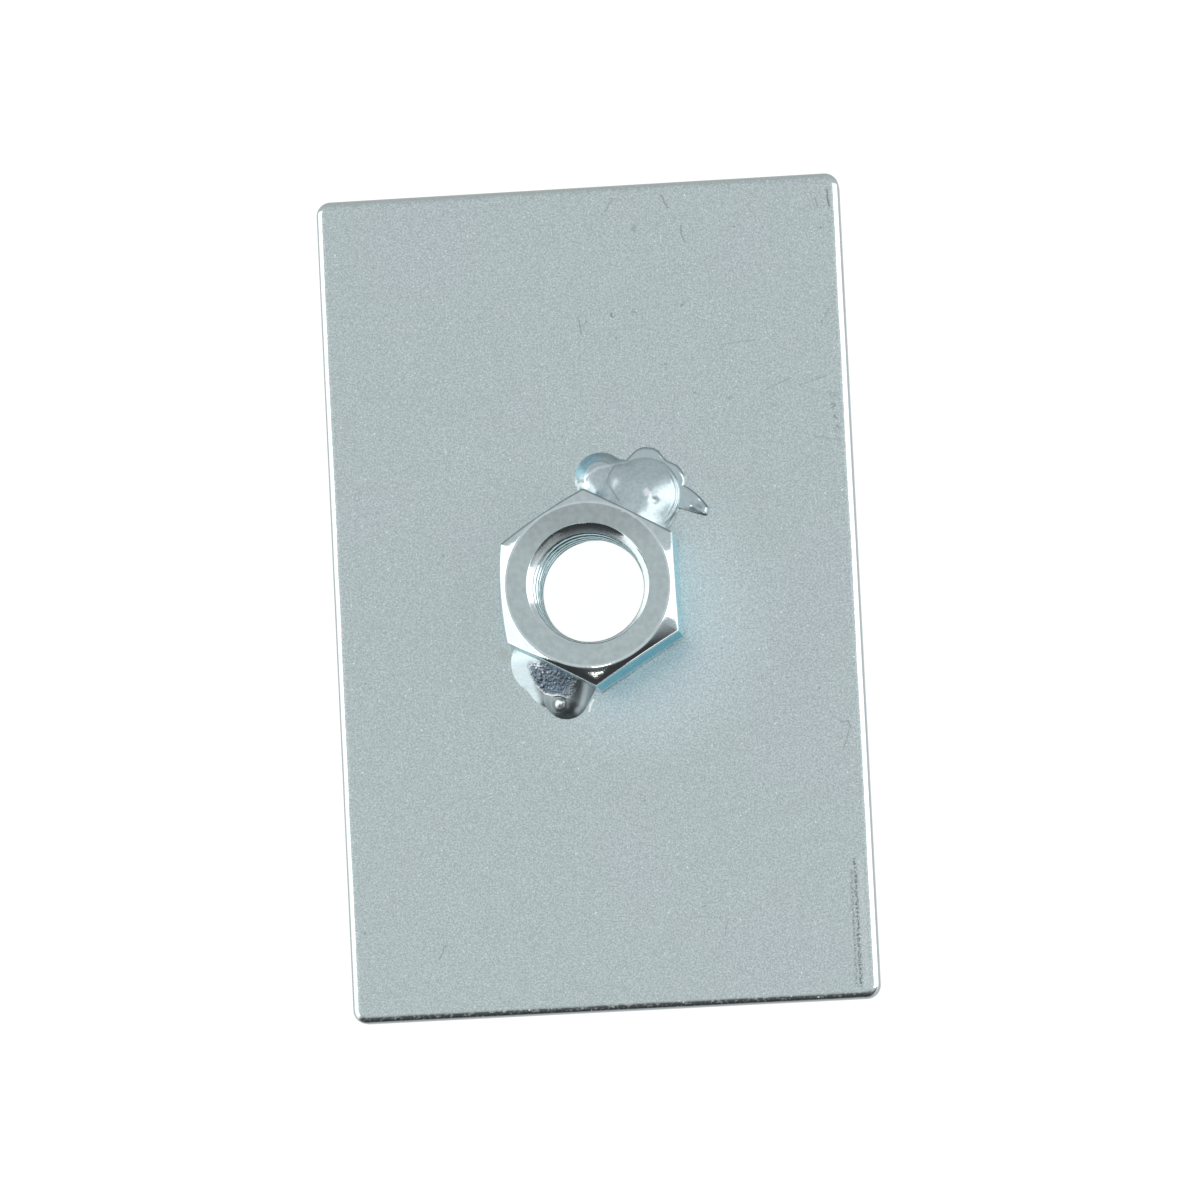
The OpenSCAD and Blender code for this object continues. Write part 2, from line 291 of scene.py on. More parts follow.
def stroke(tree, place, mark):
    # Strong along a straight line, by the distance from the nearest point of it.
    x0, y0, x1, y1, width, strength = mark
    length = np.hypot(x1 - x0, y1 - y0)
    from0 = vector(tree, "SUBTRACT", place, (x0, y0, plateTop))
    way = ((x1 - x0) / length, (y1 - y0) / length, 0)
    along = addNode(tree, "VectorMath", {0: from0, 1: way}, operation="DOT_PRODUCT").outputs["Value"]
    along = calc(tree, "MINIMUM", calc(tree, "MAXIMUM", along, 0.0), length)
    nearest = addNode(tree, "VectorMath", {0: way, "Scale": along}, operation="SCALE").outputs[0]
    return fade(tree, gap(tree, from0, nearest), width, 0.2 * width, 0.0, strength)


def smudge(tree, place, x, y, radius, strength):
    return fade(tree, gap(tree, place, (x, y, plateTop)), radius, 0.2 * radius, 0.0, strength)


def wearMarks(tree, place, look):
    # Scratches, smudges and the rub by the edge, bent and broken up by noise.
    net = addNode(tree, "TexNoise", {"Vector": place, "Scale": look["shakeScale"], "Detail": 2.0})
    shake = vector(tree, "SUBTRACT", net.outputs["Color"], (0.5, 0.5, 0.5))
    shake = vector(tree, "MULTIPLY", shake, (look["shakeSize"], look["shakeSize"], 0))
    bent = vector(tree, "ADD", place, shake)
    marks = 0.0
    for mark in look["scratches"]:
        marks = calc(tree, "MAXIMUM", stroke(tree, bent, mark), marks)
    patchy = fade(tree, noise(tree, place, look["patchScale"], 2.0), 0.4, 0.6)
    for mark in look["smudges"]:
        marks = calc(tree, "MAXIMUM", calc(tree, "MULTIPLY", smudge(tree, bent, *mark), patchy), marks)
    dotted = fade(tree, noise(tree, place, look["dotScale"], 1.0), 0.42, 0.58)
    for mark in (look["rub"], look["rubBeside"]):
        marks = calc(tree, "MAXIMUM", calc(tree, "MULTIPLY", stroke(tree, bent, mark), dotted), marks)
    return marks


def plateZinc(look):
    material, tree, shader, place = startMaterial("plateZinc")
    edge, wallShade, frontEdgeShade, dull = (attribute(tree, name) for name in ("edge", "wallShade", "frontEdgeShade", "dull"))
    clouds = fade(tree, noise(tree, place, look["cloudScale"], 3.0), 0.5, 0.75, 0.0, look["cloudStrength"])
    colour = tint(tree, clouds, look["grey"], look["violet"])
    # Paler blue round the nut: a painted reflection of its bright flats
    nearNut = gap(tree, place, (*(threadAxis + look["nutReflectionOff"]), plateTop))
    nutReflection = fade(tree, nearNut, look["nutReflectionTo"], look["nutReflectionFrom"], 0.0, look["nutReflectionStrength"])
    colour = tint(tree, nutReflection, colour, look["blue"])
    grain = noise(tree, place, look["grainScale"], 1.5)
    colour = shade(tree, colour, fade(tree, grain, 0.25, 0.75, 1 - look["grainShade"], 1 + look["grainShade"]))
    for name, scale, share, radius, strength in look["sprinkles"]:
        sprinkle = calc(tree, "MULTIPLY", specks(tree, place, scale, share, radius), strength)
        colour = tint(tree, sprinkle, colour, look[name])
    colour = tint(tree, smudge(tree, place, *look["stain"]), colour, look["brown"])
    colour = tint(tree, wearMarks(tree, place, look), colour, look["dark"])
    for mark in look["gleams"]:
        colour = tint(tree, stroke(tree, place, mark), colour, look["gleam"])
    colour = tint(tree, edge, colour, look["edge"])
    colour = tint(tree, dull, colour, look["brown"])
    # Front edge: painted shade broken by lighter streaks, with bright specks as painted glints
    streaks = fade(tree, noise(tree, place, look["streakScale"], 4.0), 0.48, 0.75)
    streaks = tint(tree, streaks, look["frontEdgeShade"], look["frontEdgeStreak"])
    streaks = tint(tree, specks(tree, place, *look["frontEdgeGlints"]), streaks, look["bright"])
    colour = tint(tree, frontEdgeShade, colour, streaks)
    # Painted shade darkens the wall below the rolled edge
    colour = tint(tree, wallShade, colour, look["wallShade"])
    low, high = look["roughness"] - look["roughVary"], look["roughness"] + look["roughVary"]
    rough = between(tree, edge, fade(tree, grain, 0.3, 0.7, low, high), look["edgeRoughness"])
    matt = calc(tree, "MAXIMUM", calc(tree, "MAXIMUM", wallShade, frontEdgeShade), dull)
    rough = between(tree, matt, rough, look["wallRoughness"])
    nicks = calc(tree, "MULTIPLY", noise(tree, place, look["nickScale"], 3.0), look["nickHeight"])
    height = calc(tree, "ADD", grain, calc(tree, "MULTIPLY", edge, nicks))
    finish(tree, shader, colour, rough, height, look["bumpStrength"], look["bumpDepth"])
    return material


# The face shade is painted shade: it darkens the end face between two heights in the picture, down to a share
# of its colour
nutLook = dict(
    grey=(0.445, 0.512, 0.517), gloss=(0.57, 0.64, 0.65), cyan=(0.10, 0.48, 0.58), paintedReflection=(0.90, 0.97, 0.98),
    grazing=(0.62, 0.86, 0.92), rim=(0.20, 0.23, 0.24), roughness=0.26, roughVary=0.05, glossRoughness=0.09,
    mouthRoughness=0.45, faceTopShade=(3.0, 7.5, 0.8), grainScale=1.6, grainShade=0.07, turned=1.2, turnedScale=5.0,
    bumpScale=4.0, bumpStrength=0.1, bumpDepth=0.04)


def nutZinc(look):
    material, tree, shader, place = startMaterial("nutZinc")
    shader.inputs["Specular Tint"].default_value = (*look["grazing"], 1)
    gloss = attribute(tree, "gloss")
    grain = noise(tree, place, look["grainScale"], 4.0)
    above = addNode(tree, "SeparateXYZ", {0: place}).outputs[1]
    # Painted shade: the colour darkens towards the top of the picture
    low, high, least = look["faceTopShade"]
    colour = shade(tree, look["grey"], fade(tree, above, low, high, 1.0, least))
    colour = tint(tree, gloss, colour, look["gloss"])
    colour = tint(tree, attribute(tree, "flat"), colour, look["cyan"])
    colour = shade(tree, colour, fade(tree, grain, 0.25, 0.75, 1 - look["grainShade"], 1 + look["grainShade"]))
    low, high = look["roughness"] - look["roughVary"], look["roughness"] + look["roughVary"]
    rough = between(tree, gloss, fade(tree, grain, 0.3, 0.7, low, high), look["glossRoughness"])
    rough = between(tree, attribute(tree, "mouth"), rough, look["mouthRoughness"])
    # Painted reflection: the flats, their lower strip and a line along some chamfer edges are painted pale
    colour = tint(tree, attribute(tree, "paintedReflection"), colour, look["paintedReflection"])
    # Painted shade: a dark line along the bend between chamfer and flat
    colour = tint(tree, attribute(tree, "rim"), colour, look["rim"])
    # Turning marks go round the thread axis, by the distance from it
    flat = vector(tree, "MULTIPLY", vector(tree, "SUBTRACT", place, (*threadAxis, 0)), (1, 1, 0))
    radius = addNode(tree, "VectorMath", {0: flat}, operation="LENGTH").outputs["Value"]
    turned = noise(tree, addNode(tree, "CombineXYZ", {0: radius}).outputs[0], look["turnedScale"], 2.0)
    marks = calc(tree, "MULTIPLY", gloss, calc(tree, "MULTIPLY", turned, look["turned"]))
    height = calc(tree, "ADD", noise(tree, place, look["bumpScale"], 2.0), marks)
    finish(tree, shader, colour, rough, height, look["bumpStrength"], look["bumpDepth"])
    return material


weldLook = dict(
    grey=(0.43, 0.51, 0.53), teal=(0.39, 0.58, 0.66), crust=(0.13, 0.17, 0.21), slagAndShade=(0.24, 0.28, 0.29),
    glint=(0.66, 0.78, 0.86), paintedHighlight=(0.92, 0.95, 0.96), crustRoughness=0.40, slagRoughness=0.3,
    speckleScale=9.0, mottleScale=3.0, bumpScale=2.5, bumpStrength=0.8, bumpDepth=0.08)


def weldZinc(name, look, roughness, mottle):
    material, tree, shader, place = startMaterial(name)
    crust = attribute(tree, "crust")
    speckle = noise(tree, place, look["speckleScale"], 3.0)
    flecked = tint(tree, fade(tree, speckle, 0.58, 0.72), look["crust"], look["glint"])
    colour = tint(tree, attribute(tree, "blue"), look["grey"], look["teal"])
    mottling = noise(tree, place, look["mottleScale"], 4.0)
    colour = shade(tree, colour, fade(tree, mottling, 0.25, 0.75, 1 - mottle, 1 + mottle))
    colour = tint(tree, crust, colour, flecked)
    # The slag colour is both the left weld's glassy slag and painted shade on the right weld and the flash
    slagAndShade = attribute(tree, "slagAndShade")
    colour = tint(tree, slagAndShade, colour, look["slagAndShade"])
    # Painted highlights in a near-white colour
    colour = tint(tree, attribute(tree, "paintedHighlight"), colour, look["paintedHighlight"])
    rough = between(tree, slagAndShade, roughness, look["slagRoughness"])
    rough = between(tree, crust, rough, look["crustRoughness"])
    height = noise(tree, place, look["bumpScale"], 4.0)
    finish(tree, shader, colour, rough, height, look["bumpStrength"] * mottle, look["bumpDepth"])
    return material


# Plate

plateForm = dict(
    cornerRadius=1.4, rollRadius=1.5, rollWidth=0.95, rollCorner=0.25, rollVary=0.06, underEdge=0.25,
    holeEdge=0.2, sideSteps=80, arcSteps=12, topRings=48, bendRings=12, cornerRings=6)


def rollSection(form):
    # Inset from the rim and drop from the face along the rolled edge: an arc that leaves the face smoothly,
    # then a small bend into the wall.
    radius, width, corner = form["rollRadius"], form["rollWidth"], form["rollCorner"]
    turn = np.linspace(0, np.arcsin((width - corner) / radius), form["bendRings"])
    arc = np.stack([width - radius * np.sin(turn), radius * (1 - np.cos(turn))], 1)
    tip = np.array([0, radius - np.sqrt(radius ** 2 - width ** 2)])
    t = np.linspace(0, 1, form["cornerRings"] + 1)[1:, None]
    bend = (1 - t) ** 2 * arc[-1] + 2 * t * (1 - t) * tip + t ** 2 * (tip + [0, corner])
    return np.concatenate([arc, bend])


def plateSurface(form):
    # A section carried round the outline: out over the face, down the rolled edge and the wall,
    # back under the plate and up through the hole. Every ray starts on the thread axis.
    corner = (plateHigh - plateLow)[:2] / 2 - form["cornerRadius"]
    corners = corner * np.array([[1, -1], [1, 1], [-1, 1], [-1, -1]])
    core, out = roundedOutline(corners, form["sideSteps"], form["arcSteps"])
    rim = core + form["cornerRadius"] * out
    bearing = (rim - threadAxis) / np.linalg.norm(rim - threadAxis, axis=1)[:, None]
    vary = 1 + form["rollVary"] * lumps(rim[:, 0], rim[:, 1], 4.0, 3)
    roll = rollSection(form)
    under, lip = form["underEdge"], form["holeEdge"]
    rings, edge = [], []

    def fromRim(inset, height):
        inset = np.broadcast_to(inset, len(core))[:, None]
        return np.column_stack([rim - inset * out, np.broadcast_to(height, len(core))])

    def fromHole(extra, height):
        return np.column_stack([threadAxis + (holeRadius + extra) * bearing, np.full(len(core), height)])

    def lay(more, onEdge):
        rings.extend(more)
        edge.extend(np.broadcast_to(onEdge, len(more)))

    bend = np.linspace(0, np.pi / 2, form["bendRings"])
    lay([fromHole(lip * (1 - np.cos(a)), plateTop - lip * (1 - np.sin(a))) for a in bend[:-1]], 1)
    inner, outer = fromHole(lip, plateTop), fromRim(roll[0, 0] * vary, plateTop)
    lay([inner + (outer - inner) * t for t in np.linspace(0, 1, form["topRings"])], 0)
    onRoll = ease(0, 0.06, roll[1:, 1])
    lay([fromRim(inset * vary, plateTop - drop * vary) for inset, drop in roll[1:]], onRoll)
    wallTop = plateTop - roll[-1, 1] * vary
    lay([fromRim(0, wallTop + (under - wallTop) * t) for t in np.linspace(0, 1, 8)[1:-1]], 1)
    lay([fromRim(under * (1 - np.cos(a)), under * (1 - np.sin(a))) for a in bend[:-1]], 1)
    inner, outer = fromHole(lip, 0), fromRim(under, 0)
    lay([outer + (inner - outer) * t for t in np.linspace(0, 1, form["topRings"] // 2)], 0)
    lay([fromHole(lip * (1 - np.sin(a)), lip * (1 - np.cos(a))) for a in bend[1:]], 1)
    lay([fromHole(0, lip + (plateTop - 2 * lip) * t) for t in np.linspace(0, 1, 6)[1:-1]], 1)
    points = np.stack(rings)
    edge = np.repeat(np.array(edge)[:, None], len(core), 1)
    # The edge is painted dark in front, painted shade broken by lighter streaks with bright specks as painted
    # glints, and is dull behind. The wall starts below the roll's arc and is darkened as painted shade.
    front = ease(0.6, 0.95, -out[:, 1] + 0.1 * lumps(rim[:, 0], rim[:, 1], 1.5, 4))
    back = ease(0.5, 0.95, out[:, 1])
    arcEnd = plateTop - roll[-form["cornerRings"] - 1, 1] * vary
    wallShade = edge * ease(0.02, 0.12, arcEnd - points[..., 2])
    dull = edge * back * ease(0, 0.3, plateTop - points[..., 2])
    finishes = dict(edge=edge * (1 - back), wallShade=wallShade, frontEdgeShade=edge * front, dull=dull)
    finishes = {name: values.ravel() for name, values in finishes.items()}
    return points.reshape(-1, 3), gridFaces(len(rings), len(core), True), finishes


points, faces, finishes = plateSurface(plateForm)
makePiece("zinc_plate", points, faces, plateZinc(plateLook), "plate_zinc", "plate", **finishes)


# Nut

# The lists of six go round the flats, anticlockwise from the one that faces +X: how blue the plating is, how
# much painted reflection makes the flat pale, how much painted shade or highlight lines the chamfer's edge,
# and how far the flat bows out
nutForm = dict(
    acrossFlats=17.0, turn=1.0, cornerRadius=0.22, faceDiameter=16.2, chamferSlope=30, crown=0.035,
    mouthDiameter=12.15, mouthAngle=100, faceOffset=(-0.1, 0.25), softEdges=(0.03, 0.22, 0.18, 0.12, 0.3),
    pitch=1.75, threadDepth=0.85, threadForm=((0, 0), (0.25, 0), (0.56, 1), (0.69, 1), (1, 0)),
    leadRadius=5.45, leadDepth=4.5, flatSteps=36, arcSteps=8, runSteps=8, bendSteps=7, boreRings=170,
    faceMargin=0.12, coneDepth=1.2, coneFade=0.9, tintFrom=(1.2, 2.4),
    flatTint=(0.15, 0.1, 0.4, 0.3, 0.1, 1.0), flatReflection=(1.0, 0.3, 0.3, 0.3, 0.8, 0.3),
    rimShade=(0.0, 0.8, 0.8, 0.0, 0.0, 0.0), rimHighlight=(0.7, 0.0, 0.0, 0.3, 0.7, 0.9),
    flatBow=(0.0, 0.0, 0.1, 0.28, 0.0, 0.0))


def circleFrom(offset, radius, bearing):
    # Distance along each bearing, from the axis to a circle whose middle lies off it.
    aside = bearing @ offset
    return aside + np.sqrt(np.maximum(aside ** 2 - offset @ offset + radius ** 2, 1e-6))


def softPath(knots, softness, steps, bendSteps):
    # Straight runs between knots, with each inner corner bent on a quadratic curve.
    path = [knots[0]]
    start = knots[0]
    t = np.linspace(0, 1, bendSteps)[:, None, None]
    for before, corner, after, soft in zip(knots, knots[1:], knots[2:], softness):
        reach = [np.linalg.norm(k - corner, axis=1, keepdims=True) for k in (before, after)]
        size = np.minimum(soft, 0.45 * np.minimum(*reach))
        first = corner + (before - corner) / reach[0] * size
        last = corner + (after - corner) / reach[1] * size
        path += [start + (first - start) * u for u in np.linspace(0, 1, steps)[1:-1]]
        path += list((1 - t) ** 2 * first + 2 * t * (1 - t) * corner + t ** 2 * last)
        start = last
    path += [start + (knots[-1] - start) * u for u in np.linspace(0, 1, steps)[1:]]
    return path


def nutSurface(form):
    # A section of radius and height at each bearing: over the end face, down the chamfer and the flat,
    # under the nut, and up the bore, which is the widest of the mouths, the lead and the helical thread.
    height = nutHigh[2] - nutLow[2]
    offset = np.array(form["faceOffset"])
    coreFlat = form["acrossFlats"] / 2 - form["cornerRadius"]
    around = np.radians(form["turn"] + 30 + 60 * np.arange(6))
    corners = coreFlat / np.cos(np.pi / 6) * np.stack([np.cos(around), np.sin(around)], 1)
    core, out = roundedOutline(corners, form["flatSteps"], form["arcSteps"])
    facing = np.round((np.degrees(np.arctan2(out[:, 1], out[:, 0])) - form["turn"]) / 60).astype(int) % 6
    square = np.radians(form["turn"] + 60 * facing)
    across = (core[:, 0] * np.sin(square) - core[:, 1] * np.cos(square)) / (coreFlat * np.tan(np.pi / 6))
    bow = np.array(form["flatBow"])[facing] * np.maximum(1 - across ** 2, 0)
    rim = core + (form["cornerRadius"] + bow)[:, None] * out
    reach = np.linalg.norm(rim, axis=1)
    bearing = rim / reach[:, None]
    drop = np.tan(np.radians(form["chamferSlope"])) * np.maximum(
        np.linalg.norm(rim - offset, axis=1) - form["faceDiameter"] / 2, 0.02)
    face = circleFrom(offset, form["faceDiameter"] / 2, bearing)
    mouth = circleFrom(offset, form["mouthDiameter"] / 2, bearing)

    def knot(radius, level):
        return np.column_stack([radius, np.broadcast_to(level, len(radius))])

    knots = [knot(mouth, height), knot(mouth + 0.05, height), knot(face, height), knot(reach, height - drop),
             knot(reach, drop), knot(face, 0), knot(mouth, 0)]
    path = softPath(knots, form["softEdges"], form["runSteps"], form["bendSteps"])
    outside = len(path)

    level = np.linspace(0, height, form["boreRings"])[1:-1, None]
    deep = np.minimum(level, height - level)
    slope = np.tan(np.radians(form["mouthAngle"] / 2))
    cone = circleFrom(offset, np.maximum(form["mouthDiameter"] / 2 - slope * deep, 1.0), bearing)
    taper = np.minimum((height - level) / form["leadDepth"], 1)
    lead = form["leadRadius"] + (minorRadius - form["leadRadius"]) * taper
    winding = (level / form["pitch"] - np.arctan2(bearing[:, 1], bearing[:, 0]) / (2 * np.pi)) % 1
    thread = minorRadius + form["threadDepth"] * np.interp(winding, *np.transpose(form["threadForm"]))
    bore = np.maximum(np.maximum(cone, lead), thread)
    path += [knot(radius, z) for radius, z in zip(bore, level[:, 0])]

    section = np.stack(path)
    share = np.clip((section[..., 0] - face) / (reach - face), 0, 1)
    crown = form["crown"] * 4 * share * (1 - share) * (reach - face)
    section[..., 1] += crown * (section[..., 1] > height / 2)
    points = np.empty((*section.shape[:2], 3))
    points[..., :2] = threadAxis + section[..., :1] * bearing
    points[..., 2] = nutLow[2] + section[..., 1]
    # The bend between chamfer and flat is the third corner of the path
    firstOfBend = 1 + 3 * (form["runSteps"] - 2) + 2 * form["bendSteps"]
    row = np.arange(len(path))[:, None]
    bend = (row >= firstOfBend) & (row < firstOfBend + form["bendSteps"])
    fromMiddle = np.abs(section[..., 1] - height / 2)
    onWall = (section[..., 0] > reach - 0.02) & (fromMiddle < height / 2 - drop - 0.05)
    onFace = (section[..., 0] < face - form["faceMargin"]) & (row < outside)
    onCone = (row >= outside) & (section[..., 1] > height - form["coneDepth"])
    upper = ease(*form["tintFrom"], section[..., 1])
    blue = onWall * np.array(form["flatTint"])[facing] * upper
    # The flats are painted pale, and more so low down near the plate: painted reflection
    paintedReflection = onWall * np.maximum(np.array(form["flatReflection"])[facing], 1 - upper) * (1 - blue)
    # Along the bend between chamfer and flat, the dark line is painted shade and the light line a painted
    # highlight
    dark, light = (bend * np.array(form[name])[facing] for name in ("rimShade", "rimHighlight"))
    finishes = dict(flat=blue, paintedReflection=np.maximum(paintedReflection, light), gloss=1.0 - (onFace | onWall), rim=dark,
                    mouth=onCone * ease(0, form["coneFade"], height - section[..., 1]))
    finishes = {name: values.ravel() for name, values in finishes.items()}
    return points.reshape(-1, 3), gridFaces(len(path), len(core), True), finishes


points, faces, finishes = nutSurface(nutForm)
makePiece("threaded_nut", points, faces, nutZinc(nutLook), "nut_zinc", "hex_nut", **finishes)


# Welds

# draw is how far a puddle narrows towards the nut: 0 runs straight back to it, 1 stays round
weldMetal = dict(melt=0.2, blend=3.0, seat=0.03, footDepth=0.05, rays=360, rings=140, wallRings=4)
rightWeld = dict(facing=60, middle=(-2.9, 2.3), climb=0.8, climbFade=1.6, puddles=[
    dict(along=-0.1, out=2.6, radius=4.0, height=1.9, flatness=2.0, rim=0.85, draw=0.5),
    dict(along=-4.7, out=2.1, radius=2.75, height=1.7, flatness=3.0, rim=1.1, draw=1.0),
    dict(along=-2.7, out=2.2, radius=2.9, height=1.3, flatness=3.0, rim=1.1, draw=0.0)])
leftWeld = dict(facing=240, middle=(-0.6, 1.2), climb=0.5, climbFade=1.3, puddles=[
    dict(along=1.8, out=0.0, radius=3.4, height=2.0, flatness=1.3, rim=1.0, draw=1.0),
    dict(along=-1.85, out=2.0, radius=2.35, height=1.5, flatness=2.0, rim=0.85, draw=0.0),
    dict(along=-0.2, out=0.35, radius=3.8, height=1.9, flatness=1.3, rim=1.0, draw=1.0)])


def puddleApart(p, along, out):
    # Distance from a puddle's middle as a share of its radius.
    aside = along - p["along"]
    ahead = out - p["out"]
    return np.hypot(aside, np.where(ahead < 0, p["draw"], 1.0) * ahead) / p["radius"]


def puddleHeight(weld, along, out):
    # Each puddle is (1 - apart ^ flatness) ^ rim times its height and its climb up the nut's flat.
    # They run together by a power mean.
    blend, total = weldMetal["blend"], 0
    climb = weld["climb"] * np.exp(-np.maximum(out, 0) / weld["climbFade"])
    for p in weld["puddles"]:
        cap = np.maximum(1 - puddleApart(p, along, out) ** p["flatness"], 0) ** p["rim"]
        total = total + (cap * (p["height"] + climb)) ** blend
    return total ** (1 / blend) - weldMetal["melt"]


def farRoot(start, ray, radius):
    # Farther crossing of each ray with a circle round the origin, and whether there is one.
    a = np.maximum((ray ** 2).sum(1), 1e-9)
    b = -ray @ start
    inside = b ** 2 - a * (start @ start - radius ** 2)
    return (b + np.sqrt(np.maximum(inside, 0))) / a, inside >= 0


def weldReach(weld, middle, ray):
    # Distance from the middle to the farther puddle's rim, or to the nut's flat where that is nearer.
    reach = 0
    for p in weld["puddles"]:
        start = middle - np.array([p["along"], p["out"]])
        squeeze = np.array([1.0, p["draw"]])
        ahead, crosses = farRoot(start, ray, p["radius"])
        back = farRoot(start * squeeze, ray * squeeze, p["radius"])[0]
        reach = np.maximum(reach, np.where(crosses & (start[1] + ahead * ray[:, 1] >= 0), ahead, back))
    toFlat = (middle[1] + weldMetal["seat"]) / np.maximum(-ray[:, 1], 1e-6)
    return np.where(ray[:, 1] < 0, np.minimum(reach, toFlat), reach)


def ontoFlat(weld, along, out, height):
    # From a flat's own axes, along it, out of it and up from the plate, to the part's frame.
    angle = np.radians(weld["facing"] + nutForm["turn"])
    outward = np.array([np.cos(angle), np.sin(angle)])
    sideways = np.array([outward[1], -outward[0]])
    flat = threadAxis + nutForm["acrossFlats"] / 2 * outward
    xy = flat + along[..., None] * sideways + out[..., None] * outward
    return np.concatenate([xy, (plateTop + height)[..., None]], -1)


def weldSurface(weld, detail):
    # Rays from a middle inside every puddle, on rings that crowd towards the rim, then down to the foot.
    metal = weldMetal
    middle = np.array(weld["middle"])
    turn = np.linspace(0, 2 * np.pi, metal["rays"], endpoint=False)
    ray = np.stack([np.cos(turn), np.sin(turn)], 1)
    share = np.sin(np.pi / 2 * np.arange(1, metal["rings"] + 1) / metal["rings"])[:, None]
    away = np.concatenate([np.full((1, metal["rays"]), 1e-3), share * weldReach(weld, middle, ray)])
    along, out = middle[0] + away * ray[:, 0], middle[1] + away * ray[:, 1]
    height, skins = detail(along, out, np.maximum(puddleHeight(weld, along, out), -metal["melt"]))
    foot = -metal["melt"] - metal["footDepth"]
    drop = np.linspace(0, 1, metal["wallRings"])[1:, None]
    height = np.concatenate([height, height[-1] + (foot - height[-1]) * drop])
    along, out = (np.pad(a, ((0, len(drop)), (0, 0)), "edge") for a in (along, out))
    points = ontoFlat(weld, along, out, height).reshape(-1, 3)
    ends = np.array([height[0, 0], foot])
    poles = ontoFlat(weld, np.full(2, middle[0]), np.full(2, middle[1]), ends)
    for name, skin in skins.items():
        skins[name] = np.append(np.pad(skin, ((0, len(drop)), (0, 0)), "edge").ravel(), [skin[0, 0], 0])
    return np.concatenate([points, poles]), poleFaces(len(height), metal["rays"]), skins


def swell(value, middle, width):
    # A rounded rise, 1 at its middle.
    return np.exp(-((value - middle) / width) ** 2)


def spot(along, out, middle, size):
    # The same rise over an oval.
    return swell(along, middle[0], size[0]) * swell(out, middle[1], size[1])


def line(along, out, knots, width):
    # The same rise across a path of straight runs between knots.
    apart = np.inf
    for (x0, y0), (x1, y1) in zip(knots, knots[1:]):
        dx, dy = x1 - x0, y1 - y0
        t = np.clip(((along - x0) * dx + (out - y0) * dy) / (dx * dx + dy * dy), 0, 1)
        apart = np.minimum(apart, np.hypot(along - x0 - t * dx, out - y0 - t * dy))
    return swell(apart, 0, width)


def within(span, value):
    # Rises smoothly over the first two values of a span and falls over the last two.
    return ease(span[0], span[1], value) * (1 - ease(span[2], span[3], value))


rightSkin = dict(
    wobble=0.03, dimple=0.008, lip=0.06, lipAt=0.55, lipWidth=0.06, lipSector=(40, 70, 215, 240),
    groove=0.025, grooveAt=3.92, grooveWidth=0.10, grooveSector=(150, 165, 225, 245),
    ripple=0.045, ripplePitch=0.42, rippleBand=(0.7, 0.82, 0.95, 1.0), rippleSector=(-35, -10, 50, 80),
    crater=(1.3, 2.4), craterSize=(0.42, 0.34), craterDepth=0.12,
    # The bright patch, the crest's shine and the lighter part of the side puddle are painted highlights.
    highlightPatch=(0.25, 2.75), highlightPatchSize=(0.7, 0.42), highlightPatchRag=0.3, highlightPatchShine=0.6,
    crest=((-5.9, 1.2), (-5.85, 1.85), (-5.35, 2.8), (-4.45, 3.5), (-3.8, 4.2), (-3.0, 4.8)),
    crestWidth=0.15, crestHeight=0.03, crestShine=0.4,
    sideHighlightSector=(200, 213, 240, 255), sideHighlightShine=0.85, blueSector=(110, 140, 195, 210),
    # The dark ring, the dark band by the nut, the shadow line and the dark glare spot are painted shade.
    ring=((-3.85, 4.05), (-4.0, 2.75), (-3.75, 2.0), (-2.95, 1.4), (-1.9, 0.8)), ringWidth=0.09, ringShade=0.75,
    nutShadeFade=(0.2, 0.45), nutShadeDark=0.35, shadow=((3.12, 0.78), (3.53, 2.2)), shadowWidth=0.13, shadowDark=0.9,
    glare=(-3.58, 2.11), glareSize=(0.5, 0.8), glareShade=0.5)


